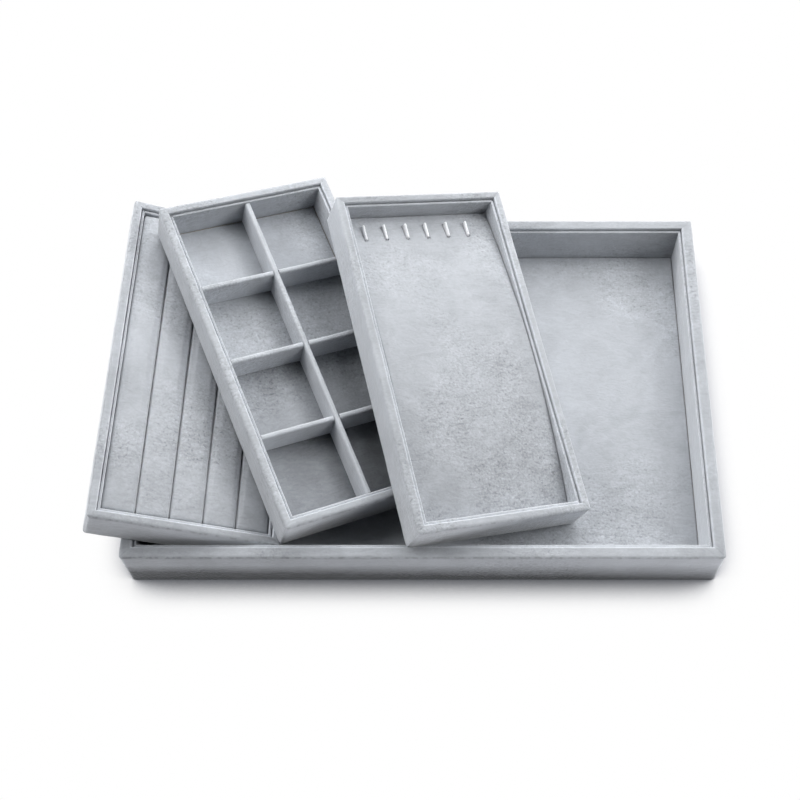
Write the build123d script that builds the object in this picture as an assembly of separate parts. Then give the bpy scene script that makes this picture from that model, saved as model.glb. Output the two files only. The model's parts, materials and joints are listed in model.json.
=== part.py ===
"""Velvet jewelry tray set: one large tray with a ring tray, a grid tray and a pendant tray fanned out on it.

Millimetres, +X along the large tray, +Y to its back, +Z up, origin at the middle of its underside.
"""
from build123d import *
import math
import os

# Large tray, outside and walls
tray_length = 350.0        # along X
tray_width = 240.0         # along Y
tray_height = 34.0
tray_wall = 7.3            # board with the velvet glued round it
tray_board = 3.5
tray_pad = 1.8
tray_corner_round = 2.2
tray_rim_round = 1.5

# Insert trays, which lie side by side in the large tray when it is packed
insert_count = 3
insert_height = 24.5
insert_wall = 5.3
insert_board = 1.8
insert_corner_round = 1.8
insert_rim_round = 1.3
insert_side_gap = 0.35     # between neighbours, and between them and the liners
insert_end_gap = 1.2       # at each end

# Liner strips, underside lining and small clearances
liner_thickness = 1.7
liner_round = 0.6
liner_drop = 1.8           # the liners end this far below the rim
groove = 0.3               # between a wall and its liner
lining = 0.6               # felt that lies flush in the underside
pad_gap = 0.25             # round a floor pad
pad_round_share = 1 / 3    # of a pad's thickness, round its upper edge
rest_gap = 0.3             # between a tray and what it rests on

# Ring rolls: foam bolsters in velvet, side by side
roll_count = 5
roll_drop = 0.5            # crest of a roll below the liners
roll_crown = 0.7
roll_shoulder = 1.9
roll_draw = 0.7            # how far a roll's foot and ends are drawn in
roll_slit = 0.25
cheek_share = 1 / 3        # of the draw, where a roll's flank ends
brow_share = 2 / 3         # of the shoulder, where the crown begins
shoulder_share = 1 / 4     # of the shoulder, cut off its corner

# Grid dividers: covered boards lapped into each other
divider_thickness = 3.6
divider_drop = 0.4         # below the liners
divider_round = 1.3
lap_gap = 0.15
cell_rows = 4
grid_pad = 1.0

# Pendant panel: a covered board bent to an arch, with slits for the strap hooks
panel_thickness = 2.4
panel_crest_drop = 1.1     # crest below the liners
panel_rise = 10.8          # of the arch over its ends
batten_width = 8.0         # battens under the panel's ends
rib_width = 4.0            # ribs under its middle stretch
rib_spacing = 50.0
hook_count = 6
hook_row_shift = -4.0      # the row's middle, from the panel's middle
hook_inset = 8.0           # from the panel's back end to the slits
hook_length = 10.4
hook_thickness = 1.6
hook_stand = 2.2           # above the panel
hook_tail = 3.0            # below the panel
hook_round = 0.7
slit_gap = 0.3             # round a hook

# How the three insert trays lie
ring_reach = 77.1          # large tray's left liner to the ring tray's right lower edge
grid_heading = 22.9        # degrees, turned to the left
grid_step = 5.6            # ring tray's right lower edge to the grid tray's front left corner
grid_front_gap = 0.9       # large tray's front liner to that corner
pendant_heading = 13.8     # degrees, turned to the left
pendant_reach = 73.4       # large tray's right liner to the pendant tray's front right corner
pendant_inset = 24.9       # large tray's front liner to that corner

overrun = 5.0              # past a face that a cut goes through
settle_rounds = 8          # in which a tray's lean and turn are worked out
settle_share = 1e-6        # of the gap at rest, within which a support counts as met

# Worked out from the sizes above
tray_edge = tray_wall + groove + liner_thickness
insert_edge = insert_wall + groove + liner_thickness
room_length = tray_length - 2 * tray_edge
room_width = tray_width - 2 * tray_edge
insert_width = (room_length - (insert_count + 1) * insert_side_gap) / insert_count
insert_length = room_width - 2 * insert_end_gap
inner_width = insert_width - 2 * insert_edge
inner_length = insert_length - 2 * insert_edge
tray_floor = lining + tray_board + tray_pad
insert_floor = lining + insert_board
liner_top = insert_height - liner_drop
hook_spacing = inner_width / (hook_count + 1)


def slab(size_x, size_y, low, high, middle=(0, 0)):
    """A flat block between two heights."""
    return Pos(middle[0], middle[1], low) * extrude(Rectangle(size_x, size_y), high - low)


def rounded_frame(size_x, size_y, thickness, low, high, corner_round, top_round):
    """Four walls in one, with rounded upright corners and rounded upper edges."""
    inner_x = size_x - 2 * thickness
    inner_y = size_y - 2 * thickness
    outline = RectangleRounded(size_x, size_y, corner_round) if corner_round else Rectangle(size_x, size_y)
    frame = Pos(0, 0, low) * extrude(outline - Rectangle(inner_x, inner_y), high - low)
    return fillet(frame.edges().group_by(Axis.Z)[-1], top_round)


def mitred_sides(frame, size_x, size_y, thickness, low, high):
    """The frame cut at its mitres into front, back, left and right."""
    out = overrun
    deep = thickness + overrun
    half_x = size_x / 2
    half_y = size_y / 2
    front = [(-half_x - out, -half_y - out), (half_x + out, -half_y - out),
             (half_x - deep, -half_y + deep), (-half_x + deep, -half_y + deep)]
    left = [(-half_x - out, -half_y - out), (-half_x + deep, -half_y + deep),
            (-half_x + deep, half_y - deep), (-half_x - out, half_y + out)]
    outlines = {"front": front, "back": [(x, -y) for x, y in front],
                "left": left, "right": [(-x, y) for x, y in left]}
    sides = {}
    for side, points in outlines.items():
        wedge = Pos(0, 0, low - out) * extrude(make_face(Polyline(*points, close=True)), high - low + 2 * out)
        sides[side] = frame & wedge
    return sides


def tray_shell(name, size_x, size_y, height, wall, board, corner_round, rim_round):
    """Lining, base board, walls and liner strips of one tray, standing on z = 0."""
    inside_x = size_x - 2 * wall
    inside_y = size_y - 2 * wall
    parts = {name + "_underside_felt": slab(inside_x, inside_y, 0, lining),
             name + "_base_board": slab(inside_x, inside_y, lining, lining + board)}
    walls = rounded_frame(size_x, size_y, wall, 0, height, corner_round, rim_round)
    for side, solid in mitred_sides(walls, size_x, size_y, wall, 0, height).items():
        parts[name + "_wall_" + side] = solid
    liner_x = inside_x - 2 * groove
    liner_y = inside_y - 2 * groove
    low = lining + board
    high = height - liner_drop
    liners = rounded_frame(liner_x, liner_y, liner_thickness, low, high, 0, liner_round)
    for side, solid in mitred_sides(liners, liner_x, liner_y, liner_thickness, low, high).items():
        parts[name + "_liner_" + side] = solid
    return parts


def insert_shell(name):
    """The shell that the three insert trays share."""
    return tray_shell(name, insert_width, insert_length, insert_height, insert_wall, insert_board,
                      insert_corner_round, insert_rim_round)


def large_tray():
    """The tray that carries the others."""
    parts = tray_shell("large_tray", tray_length, tray_width, tray_height, tray_wall, tray_board,
                       tray_corner_round, tray_rim_round)
    pad = slab(room_length - 2 * pad_gap, room_width - 2 * pad_gap, tray_floor - tray_pad, tray_floor)
    upper = pad.edges().group_by(Axis.Z)[-1]
    parts["large_tray_floor_pad"] = fillet(upper, tray_pad * pad_round_share)
    return parts


roll_width = (inner_width - 2 * pad_gap - (roll_count - 1) * roll_slit) / roll_count
roll_height = liner_top - roll_drop - insert_floor


def roll_section(y, share):
    """A roll's section at one station, drawn in to a share of its width and height."""
    half = roll_width / 2 * share
    high = roll_height * share
    foot = half - roll_draw
    cut_off = roll_shoulder * shoulder_share
    right = [(foot, 0), (half, high / 2), (half - roll_draw * cheek_share, high - roll_shoulder),
             (half - cut_off, high - roll_crown - cut_off),
             (half - roll_shoulder * brow_share, high - roll_crown)]
    points = right + [(0, high)] + [(-x, z) for x, z in reversed(right)]
    outline = Polyline(points[-1], points[0])
    for index in range(0, len(points) - 1, 2):
        outline += ThreePointArc(points[index], points[index + 1], points[index + 2])
    return Plane((0, y, insert_floor), x_dir=(1, 0, 0), z_dir=(0, -1, 0)) * make_face(outline)


def ring_roll():
    """One foam roll: crowned top, bulging sides, ends drawn in."""
    half_length = inner_length / 2 - pad_gap
    full_share = 1.0
    end_share = 1 - 2 * roll_draw / roll_width
    stations = [(-half_length, end_share), (-half_length + roll_shoulder, full_share),
                (half_length - roll_shoulder, full_share), (half_length, end_share)]
    return loft([roll_section(y, share) for y, share in stations], ruled=True)


def roll_places():
    """Middles of the ring rolls across the tray."""
    pitch = roll_width + roll_slit
    return [pitch * (index - (roll_count - 1) / 2) for index in range(roll_count)]


def ring_tray():
    """The tray with five ring rolls."""
    parts = insert_shell("ring_tray")
    roll = ring_roll()
    for number, x in enumerate(roll_places(), start=1):
        parts[f"ring_tray_roll_{number}"] = Pos(x, 0, 0) * roll
    return parts


divider_foot = insert_floor + grid_pad
divider_top = liner_top - divider_drop
divider_lap = (divider_foot + divider_top) / 2
cell_pitch = inner_length / cell_rows


def cross_places():
    """Middles of the cross dividers along the tray."""
    return [cell_pitch * (index - cell_rows / 2) for index in range(1, cell_rows)]


def upright_board(size_x, size_y):
    """A covered board standing on the floor pad, its upper edges rounded along its length."""
    board = slab(size_x, size_y, divider_foot, divider_top)
    along = Axis.Y if size_y > size_x else Axis.X
    upper = board.edges().filter_by(along).group_by(Axis.Z)[-1]
    return fillet(upper, divider_round)


def grid_tray():
    """The tray with one long divider and cross dividers that are lapped into it."""
    parts = insert_shell("grid_tray")
    pad = slab(inner_width - 2 * pad_gap, inner_length - 2 * pad_gap, insert_floor, divider_foot)
    parts["grid_tray_floor_pad"] = fillet(pad.edges().group_by(Axis.Z)[-1], grid_pad * pad_round_share)
    lap = divider_thickness + 2 * lap_gap
    long_divider = upright_board(divider_thickness, inner_length - 2 * pad_gap)
    cross_divider = upright_board(inner_width - 2 * pad_gap, divider_thickness)
    cross_divider -= slab(lap, lap, divider_lap - lap_gap, divider_top + overrun)
    for number, y in enumerate(cross_places(), start=1):
        long_divider -= slab(lap, lap, divider_foot - overrun, divider_lap, middle=(0, y))
        parts[f"grid_tray_cross_divider_{number}"] = Pos(0, y, 0) * cross_divider
    parts["grid_tray_long_divider"] = long_divider
    return parts


panel_half = inner_length / 2 - pad_gap
panel_crest = liner_top - panel_crest_drop
arch_radius = (panel_half ** 2 + panel_rise ** 2) / (2 * panel_rise)


def arch_height(y, drop=0):
    """Height of the panel's face, or of a face that lies a drop below it, over a place along the tray."""
    radius = arch_radius - drop
    return panel_crest - arch_radius + math.sqrt(radius ** 2 - y ** 2)


def arch_block(width, low, drop):
    """The room under an arch: flat below, its top the panel's face less a drop."""
    ends = arch_height(panel_half, drop)
    outline = Polyline((-panel_half, ends), (-panel_half, low), (panel_half, low), (panel_half, ends))
    outline += ThreePointArc((-panel_half, ends), (0, panel_crest - drop), (panel_half, ends))
    side = Plane((-width / 2, 0, 0), x_dir=(0, 1, 0), z_dir=(1, 0, 0))
    return extrude(side * make_face(outline), width)


def hook_places():
    """Middles of the strap hooks across the tray."""
    return [hook_row_shift + hook_spacing * (index - (hook_count - 1) / 2) for index in range(hook_count)]


def strap_hook(x, y):
    """A short covered tongue that stands in its slit."""
    low = arch_height(y) - panel_thickness - hook_tail
    high = arch_height(y) + hook_stand
    tongue = slab(hook_thickness, hook_length, low, high, middle=(x, y))
    upper = tongue.edges().group_by(Axis.Z)[-1]
    return fillet(upper, hook_round)


def pendant_tray():
    """The tray with the arched panel and its row of hooks."""
    parts = insert_shell("pendant_tray")
    width = inner_width - 2 * pad_gap
    hook_y = panel_half - hook_inset - hook_length / 2
    panel = arch_block(width, 0, 0) - arch_block(width, 0, panel_thickness)
    slit = slab(hook_thickness + 2 * slit_gap, hook_length + 2 * slit_gap, 0, panel_crest)
    for x in hook_places():
        panel -= Pos(x, hook_y, 0) * slit
    parts["pendant_tray_arched_panel"] = panel
    under = arch_block(width, insert_floor, panel_thickness)
    batten_y = panel_half - batten_width / 2
    supports = {"front_batten": (-batten_y, batten_width), "back_batten": (batten_y, batten_width),
                "front_rib": (-rib_spacing / 2, rib_width), "back_rib": (rib_spacing / 2, rib_width)}
    for name, (y, thickness) in supports.items():
        block = slab(width, thickness, insert_floor, panel_crest, middle=(0, y))
        parts["pendant_tray_" + name] = under & block
    parts["pendant_tray_strap_hooks"] = Compound(children=[strap_hook(x, hook_y) for x in hook_places()])
    return parts


def ridge_lines(seat, size_x, size_y, height, wall, edge, rim_round, extra=()):
    """Lines along the tops of a tray, each with the radius that is rounded about it."""
    rounds = [(rim_round, height - rim_round, rim_round), (wall - rim_round, height - rim_round, rim_round),
              (edge - liner_round, height - liner_drop - liner_round, liner_round)]
    lines = list(extra)
    for inset, z, radius in rounds:
        x = size_x / 2 - inset
        y = size_y / 2 - inset
        corners = [(-x, -y, z), (x, -y, z), (x, y, z), (-x, y, z)]
        lines += [(start, end, radius) for start, end in zip(corners, corners[1:] + corners[:1])]
    return [(seat.from_local_coords(Vector(*start)), seat.from_local_coords(Vector(*end)), radius)
            for start, end, radius in lines]


def insert_ridges(seat, extra=()):
    """The ridge lines of an insert tray where it lies."""
    return ridge_lines(seat, insert_width, insert_length, insert_height, insert_wall, insert_edge,
                       insert_rim_round, extra)


def over_outline(start, end, outline):
    """The two ends of the stretch of a line that lies over a convex outline in plan, or none."""
    enter = 0.0
    leave = 1.0
    run = end - start
    for near, far in zip(outline, outline[1:] + outline[:1]):
        side = far - near
        inside = side.X * (start.Y - near.Y) - side.Y * (start.X - near.X)
        gain = side.X * run.Y - side.Y * run.X
        if gain > 0:
            enter = max(enter, -inside / gain)
        elif gain < 0:
            leave = min(leave, -inside / gain)
        elif inside < 0:
            return []
    return [start + run * enter, start + run * leave] if enter < leave else []


def lowest_slopes(pivot, middle, supports, slopes):
    """Slopes along X and Y of the lowest plane through the pivot that clears every support."""
    stretch = math.sqrt(1 + slopes[0] ** 2 + slopes[1] ** 2)
    needs = [(point.X - pivot.X, point.Y - pivot.Y, point.Z + (radius + rest_gap) * stretch - pivot.Z)
             for point, radius in supports]
    tiny = rest_gap * settle_share
    found = []
    for index, (ax, ay, az) in enumerate(needs):
        for bx, by, bz in needs[:index]:
            area = ax * by - ay * bx
            if abs(area) > tiny:
                slope_x = (az * by - ay * bz) / area
                slope_y = (ax * bz - az * bx) / area
                if all(slope_x * x + slope_y * y > z - tiny for x, y, z in needs):
                    height = slope_x * (middle.X - pivot.X) + slope_y * (middle.Y - pivot.Y)
                    found.append((height, slope_x, slope_y))
    return min(found)[1:]


def settled_seat(heading, pivot_of, ridges):
    """Seat of an insert tray with a lower corner on the large tray's floor, lying on the ridges below."""
    slopes = (0.0, 0.0)
    for _ in range(settle_rounds):
        up = Vector(-slopes[0], -slopes[1], 1).normalized()
        plan_x = -math.sin(math.radians(heading))
        plan_y = math.cos(math.radians(heading))
        along = Vector(plan_x, plan_y, slopes[0] * plan_x + slopes[1] * plan_y).normalized()
        across = along.cross(up)
        pivot = pivot_of(across)
        middle = pivot - across * (insert_width / 2) + along * (insert_length / 2)
        outline = [middle + across * (insert_width / 2 * i) + along * (insert_length / 2 * j)
                   for i, j in ((-1, -1), (1, -1), (1, 1), (-1, 1))]
        supports = [(point, radius) for start, end, radius in ridges
                    for point in over_outline(start, end, outline)]
        slopes = lowest_slopes(pivot, middle, supports, slopes)
    return Plane(middle, x_dir=across, z_dir=up)


floor_rest = tray_floor + rest_gap
liner_left = -room_length / 2
liner_front = -room_width / 2


def ring_seat():
    """The ring tray leans on the left rim, its right lower edge on the floor, turned as its ends allow."""
    edge_x = liner_left + ring_reach
    round_x = -tray_length / 2 + tray_wall - tray_rim_round
    rise = tray_height - tray_rim_round - floor_rest
    lean = 0.0
    for _ in range(settle_rounds):
        inside = edge_x + insert_height * math.sin(lean) + tray_length / 2
        turn = -math.asin(2 * (insert_end_gap - rest_gap) / inside)
        run = (edge_x - round_x) * math.cos(turn) + insert_length / 2 * math.sin(turn)
        lean = math.atan2(rise, run) + math.asin((tray_rim_round + rest_gap) / math.hypot(run, rise))
    across = Vector(math.cos(lean) * math.cos(turn), math.cos(lean) * math.sin(turn), -math.sin(lean))
    along = Vector(-math.sin(turn), math.cos(turn), 0)
    middle_x = inside / 2 - tray_length / 2
    edge = Vector(edge_x, (edge_x - middle_x) * math.tan(turn), floor_rest)
    return Plane(edge - across * (insert_width / 2), x_dir=across, z_dir=across.cross(along))


def grid_seat(ridges):
    """The grid tray lies on the ring tray and the back rim, its front left corner just inside a liner."""
    corner = Vector(liner_left + ring_reach + grid_step, liner_front + grid_front_gap, floor_rest)

    def pivot_of(across):
        return corner + Vector(across.X, across.Y, 0) * insert_width

    return settled_seat(grid_heading, pivot_of, ridges)


def pendant_seat(ridges):
    """The pendant tray lies on the grid tray and the rims, its front right corner on the floor."""
    corner = Vector(room_length / 2 - pendant_reach, liner_front + pendant_inset, floor_rest)

    def pivot_of(across):
        return corner

    return settled_seat(pendant_heading, pivot_of, ridges)


def ring_tops():
    """Crest lines of the ring rolls."""
    crest = insert_floor + roll_height - roll_crown
    reach = inner_length / 2 - pad_gap
    return [((x, -reach, crest), (x, reach, crest), roll_crown) for x in roll_places()]


def divider_tops():
    """Top lines of the dividers."""
    top = divider_top - divider_round
    reach_x = inner_width / 2 - pad_gap
    reach_y = inner_length / 2 - pad_gap
    lines = [((0, -reach_y, top), (0, reach_y, top), divider_round)]
    return lines + [((-reach_x, y, top), (reach_x, y, top), divider_round) for y in cross_places()]


def build():
    """Every node of the set, where it lies."""
    ridges = ridge_lines(Plane.XY, tray_length, tray_width, tray_height, tray_wall, tray_edge, tray_rim_round)
    nodes = large_tray()
    ring = ring_seat()
    ridges += insert_ridges(ring, ring_tops())
    grid = grid_seat(ridges)
    ridges += insert_ridges(grid, divider_tops())
    pendant = pendant_seat(ridges)
    for seat, parts in ((ring, ring_tray()), (grid, grid_tray()), (pendant, pendant_tray())):
        for name, solid in parts.items():
            nodes[name] = seat.location * solid
    return nodes


os.makedirs("parts", exist_ok=True)
for node_name, node_solid in build().items():
    export_step(node_solid, f"parts/{node_name}.step")
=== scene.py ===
"""Looks of a velvet jewelry tray set: a large tray with a ring tray, a grid tray and a pendant tray on it.

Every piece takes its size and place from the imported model's nodes. Lengths are in metres.
"""
import json
import math

import bmesh
import bpy
import numpy as np
from mathutils import Matrix

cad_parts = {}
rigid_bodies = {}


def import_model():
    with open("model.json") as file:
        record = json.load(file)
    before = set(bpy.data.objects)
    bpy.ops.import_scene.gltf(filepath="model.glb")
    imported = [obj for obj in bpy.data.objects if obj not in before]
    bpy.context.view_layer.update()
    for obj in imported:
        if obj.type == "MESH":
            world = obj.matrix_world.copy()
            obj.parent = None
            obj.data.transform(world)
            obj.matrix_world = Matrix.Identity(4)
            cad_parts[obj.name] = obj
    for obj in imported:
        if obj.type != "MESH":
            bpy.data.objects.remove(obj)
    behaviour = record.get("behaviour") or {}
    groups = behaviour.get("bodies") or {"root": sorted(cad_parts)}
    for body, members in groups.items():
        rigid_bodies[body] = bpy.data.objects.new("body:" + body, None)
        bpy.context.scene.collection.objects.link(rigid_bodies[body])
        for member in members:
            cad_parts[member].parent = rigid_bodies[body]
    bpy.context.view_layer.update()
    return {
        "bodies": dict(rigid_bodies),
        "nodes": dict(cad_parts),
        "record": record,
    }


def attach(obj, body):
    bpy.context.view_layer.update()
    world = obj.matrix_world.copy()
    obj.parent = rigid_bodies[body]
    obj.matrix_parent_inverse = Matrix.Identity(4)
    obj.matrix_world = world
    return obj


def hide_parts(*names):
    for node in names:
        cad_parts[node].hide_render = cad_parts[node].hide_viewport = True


bl_info = {
    "name": "Velvet Tray Set",
    "version": (1, 0, 0),
    "blender": (4, 5, 0),
    "location": "3D View > Sidebar > Trays",
    "description": "Covers the boards of a nesting jewelry tray set in velvet and sets up its stage",
    "category": "Object",
}

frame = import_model()
SLOTS = {part["node"]: part["material_slot"] for part in frame["record"]["subparts"]}

MM = 0.001
SAME = 0.001 * MM      # points and lines this close together are one
NAP = "Nap"            # UV map that follows each face, in metres
PARTING = "parting"    # attribute: how far the pile parts, from 0 to 1
SHADE = "shade"        # attribute: painted shade, how much darker the colour is made, below 0 where painted light makes it brighter
SIDES = {"front": ((1, 0), (0, 1)), "right": ((0, 1), (-1, 0)),
         "back": ((-1, 0), (0, -1)), "left": ((0, -1), (1, 0))}    # along a wall, and inwards from it


# Settings

def setting(kind, **limits):
    """A kind of setting, still to be given a name, a description and a default."""
    def made(name, description, default, **others):
        return kind(name=name, description=description, default=default, **{**limits, **others})
    return made


metres = setting(bpy.props.FloatProperty, min=0, unit="LENGTH")
amount = setting(bpy.props.FloatProperty, min=0)
pieces = setting(bpy.props.IntProperty, min=2)
angle = setting(bpy.props.FloatProperty, subtype="ANGLE")
watts = setting(bpy.props.FloatProperty, min=0, unit="POWER")
paint = setting(bpy.props.FloatVectorProperty, subtype="COLOR", size=3, min=0, max=1)


class VelvetLook(bpy.types.PropertyGroup):
    """Colours and pile of the cloth and boards."""
    colour: paint("Velvet", "Colour of the velvet", (0.42, 0.44, 0.47))
    strap_colour: paint("Straps", "Colour of the strap hooks", (0.80, 0.81, 0.83))
    felt_colour: paint("Felt", "Colour of the felt under the trays", (0.12, 0.125, 0.135))
    board_colour: paint("Board", "Colour of the bare board", (0.36, 0.32, 0.27))
    cloud_size: metres("Cloud size", "Width of a patch where the pile lies one way", 26 * MM, min=MM)
    cloud_depth: amount("Cloud depth", "How much lighter and darker such patches are", 0.42)
    stroke_size: metres("Stroke size", "Width of a brush mark in the pile", 3.6 * MM, min=MM / 10)
    stroke_depth: amount("Stroke depth", "How much brush marks show", 0.40)
    pile_size: metres("Pile size", "Width of a tuft of pile", 1.4 * MM, min=MM / 10)
    pile_depth: amount("Pile depth", "How much the tufts show where the pile is rough", 0.46)
    fleck_depth: amount("Fleck depth", "How dark the gaps between tufts are", 0.19)
    parting_depth: amount("Parting depth", "How much darker the velvet is where its pile parts", 0.42)
    sheen: amount("Sheen", "Bright edge that pile has at a slant", 1.0, max=1)


class CoverShape(bpy.types.PropertyGroup):
    """How softly the cloth lies over the boards."""
    step: metres("Step", "Spacing of the cover's points along a wall", 2 * MM, min=MM / 2)
    rim_round: metres("Rim rounding", "Radius of a wall's outer upper edge", 2.3 * MM)
    lip_round: metres("Lip rounding", "Radius of a wall's inner upper edge", 0.9 * MM)
    corner_round: metres("Corner rounding", "Radius of a tray's upright corners", 2.8 * MM)
    liner_round: metres("Liner rounding", "Radius of a liner's upper edges", 0.6 * MM)
    divider_round: metres("Divider rounding", "Radius of a divider's upper edges", 1.5 * MM)
    pad_round: metres("Pad rounding", "Radius of a floor pad's upper edge", 0.9 * MM)
    wander: metres("Wander", "How far the cloth lies unevenly", 0.22 * MM)
    seam_dip: metres("Seam dip", "How far the cover dips at a mitre", 0.05 * MM)
    roll_shoulder: metres("Roll shoulder", "Radius of a ring roll's edges", 1.0 * MM)
    roll_crown: metres("Roll crown", "How far a ring roll's middle stands above its shoulders", 0.5 * MM)
    roll_swell: metres("Roll swell", "How far a ring roll's foam lifts its velvet", 0.5 * MM)
    roll_press: metres("Roll press", "How far a ring roll swells towards its neighbours", 0.08 * MM)
    hook_count: pieces("Strap hooks", "Strap hooks in the pendant tray's panel", 6)
    hook_thickness: metres("Hook thickness", "Thickness of a strap hook", 1.6 * MM)
    hook_lean: angle("Hook lean", "How far a strap hook leans in its slit", math.radians(5))
    slit_gap: metres("Slit gap", "Room round a hook in its slit", 0.3 * MM)


class StageLook(bpy.types.PropertyGroup):
    """Lamps, floor and background."""
    key_power: watts("Key lamp", "Power of the soft box behind on the right", 7.7)
    side_power: watts("Side lamp", "Power of the low soft box on the right", 9.9)
    fill_power: watts("Fill lamp", "Power of the low soft box on the left", 11.2)
    back_power: watts("Back lamp", "Power of the low soft box behind", 12.3)
    high_power: watts("High lamp", "Power of the soft box behind on the left", 3.1)
    floor_colour: paint("Floor", "Colour of the floor", (0.88, 0.88, 0.90))
    # The contact colour is painted shade, laid on the floor by ambient occlusion near the trays
    contact_reach: metres("Contact reach", "How far a wall's shade reaches over the floor", 31 * MM, min=MM)
    contact_colour: paint("Contact colour", "Colour of the floor in that shade", (0.26, 0.275, 0.32))


# Trays and their sizes

CELL_EDGES = (("liner_left", "liner_right", "long_divider"), ("liner_front", "liner_back", "cross_divider_"))


def read(items, label, width=1, kind=float):
    """One property of all of a mesh's points, faces or corners, a row for each."""
    values = np.zeros(len(items) * width, kind)
    items.foreach_get(label, values)
    return values.reshape(-1, width)


def mesh_points(mesh):
    """The points of a mesh, a row for each."""
    return read(mesh.vertices, "co", 3)


class Tray:
    """A tray's own frame, upright with its origin at the middle of its underside, read from its nodes."""

    def __init__(self, name):
        self.name = name
        board = mesh_points(frame["nodes"][name + "_base_board"].data)
        self.origin = board.mean(0)
        self.turn = np.zeros((3, 3))
        for axis in np.linalg.svd(board - self.origin, full_matrices=False)[2]:
            nearest = np.abs(axis).argmax()
            self.turn[:, nearest] = axis * np.sign(axis[nearest])
        self.origin = self.origin + self.turn[:, 2] * self.box("wall_front")[0][2]

    def points(self, part):
        """The corner points of one of the tray's nodes, in the tray's frame."""
        node = frame["nodes"][f"{self.name}_{part}"]
        return (mesh_points(node.data) - self.origin) @ self.turn

    def box(self, part):
        """Lowest and highest corner of one of the tray's nodes, in the tray's frame."""
        points = self.points(part)
        return points.min(0), points.max(0)

    def outline(self, stem):
        """Length and width round the four strips of one kind, walls or liners."""
        boxes = np.array([self.box(f"{stem}_{side}") for side in SIDES])
        return (boxes[:, 1].max(0) - boxes[:, 0].min(0))[:2]

    def parts(self, stem):
        """The tray's nodes of one kind, without the tray's name, in order."""
        start = f"{self.name}_{stem}"
        return sorted(node[len(self.name) + 1:] for node in frame["nodes"] if node.startswith(start))

    def cells(self, axis):
        """Edges of the tray's compartments, across it (axis 0) or from its front to its back (axis 1)."""
        first, last, dividing = CELL_EDGES[axis]
        edges = [self.box(first)[1][axis], self.box(last)[0][axis]]
        for part in self.parts(dividing):
            low, high = self.box(part)
            edges.append((low[axis] + high[axis]) / 2)
        return np.array(sorted(edges))

    def share(self, axis, place):
        """How far a place is through its compartment, from 0 to 1."""
        edges = self.cells(axis)
        index = np.clip(np.searchsorted(edges, place) - 1, 0, len(edges) - 2)
        return np.clip((place - edges[index]) / (edges[index + 1] - edges[index]), 0, 1)

    def matrix(self):
        """From the tray's frame to the row's."""
        return Matrix.Translation(self.origin) @ Matrix(self.turn.tolist()).to_4x4()


TRAYS = {name: Tray(name) for name in frame["bodies"]}


# Node trees

def adds(operation):
    """A method that adds a Math node to a wire."""
    return lambda wire, *others: wire.net.math(operation, wire, *others)


class Wire:
    """A node's output. Arithmetic on wires and numbers adds their Math nodes."""
    __add__ = __radd__ = adds("ADD")
    __sub__ = adds("SUBTRACT")
    __mul__ = __rmul__ = adds("MULTIPLY")
    __truediv__ = adds("DIVIDE")
    __pow__ = adds("POWER")
    __abs__ = adds("ABSOLUTE")

    def __init__(self, net, socket):
        self.net = net
        self.socket = socket

    def __rsub__(self, other):
        return self.net.math("SUBTRACT", other, self)


class Net:
    """Adds nodes to one tree, of a material or of geometry."""

    def __init__(self, tree):
        self.tree = tree
        tree.nodes.clear()

    def node(self, kind, inputs=(), **settings):
        """A new node: its settings first, then the values or links of its sockets."""
        made = self.tree.nodes.new(kind)
        for name, value in settings.items():
            setattr(made, name, value)
        for key, value in dict(inputs).items():
            if isinstance(value, Wire):
                self.tree.links.new(value.socket, made.inputs[key])
            else:
                made.inputs[key].default_value = value
        return made

    def wire(self, kind, inputs=(), output=0, **settings):
        """One output of a new node."""
        return Wire(self, self.node(kind, inputs, **settings).outputs[output])

    def math(self, operation, *values):
        return self.wire("ShaderNodeMath", enumerate(values), operation=operation)

    def vector(self, operation, *values):
        return self.wire("ShaderNodeVectorMath", enumerate(values), operation=operation)

    def scaled(self, vector, factor):
        """A vector times a number."""
        return self.wire("ShaderNodeVectorMath", {"Vector": vector, "Scale": factor}, operation="SCALE")

    def part(self, vector, index):
        """One of a vector's three parts."""
        return self.wire("ShaderNodeSeparateXYZ", {0: vector}, index)

    def joined(self, **parts):
        """A vector from its parts X, Y and Z, zero where one isn't given."""
        return self.wire("ShaderNodeCombineXYZ", parts)

    def attribute(self, name):
        """A number that the mesh keeps at each point."""
        return self.wire("ShaderNodeAttribute", output="Fac", attribute_name=name)

    def noise(self, place, size, detail=1.0, distortion=0.0):
        """Smooth noise about zero, in patches of a given size."""
        made = self.wire("ShaderNodeTexNoise", {
            "Vector": place, "Scale": 1 / size, "Detail": detail, "Distortion": distortion})
        return made - 0.5

    def smooth_step(self, value, low, high):
        """0 below one limit, 1 above the other and a smooth rise between."""
        limits = {"Value": value, "From Min": low, "From Max": high}
        return self.wire("ShaderNodeMapRange", limits, interpolation_type="SMOOTHSTEP")

    def blend(self, factor, first, second):
        """A colour between two colours."""
        return self.wire("ShaderNodeMix", {0: factor, 6: first, 7: second}, 2, data_type="RGBA")


# Materials

STROKE_TURN = math.radians(35)
STROKE_STRETCH = 0.42
STROKE_BUMP = 0.8          # of a brush mark, beside a tuft's 1
BRUSHED_STROKE = 0.5       # how much brush marks show where the pile lies brushed
ROUGH_SIZE = 70 * MM       # patches where the pile stands rough, between brushed ones
ROUGH_START = (80 * MM, 220 * MM, 720 * MM)    # where their pattern starts
ROUGH_EDGE = (-0.08, 0.12)    # noise at which brushed pile turns rough
BRUSHED_GRAIN = 0.2        # share of the grain that brushed pile still shows
FLECK_SIZE = 1.8 * MM
FLECK_EDGE = (0.15, 0.27)
GLINT_SIZE = 1.1 * MM
GLINT_EDGE = (0.16, 0.28)
GLINT_DEPTH = 0.16
PARTING_EDGE = (-0.12, 0.12)    # noise that breaks a parting up
PILE_BUMP = 0.25 * MM
DARKEST = 0.05             # share of the colour that the darkest pile keeps

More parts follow.
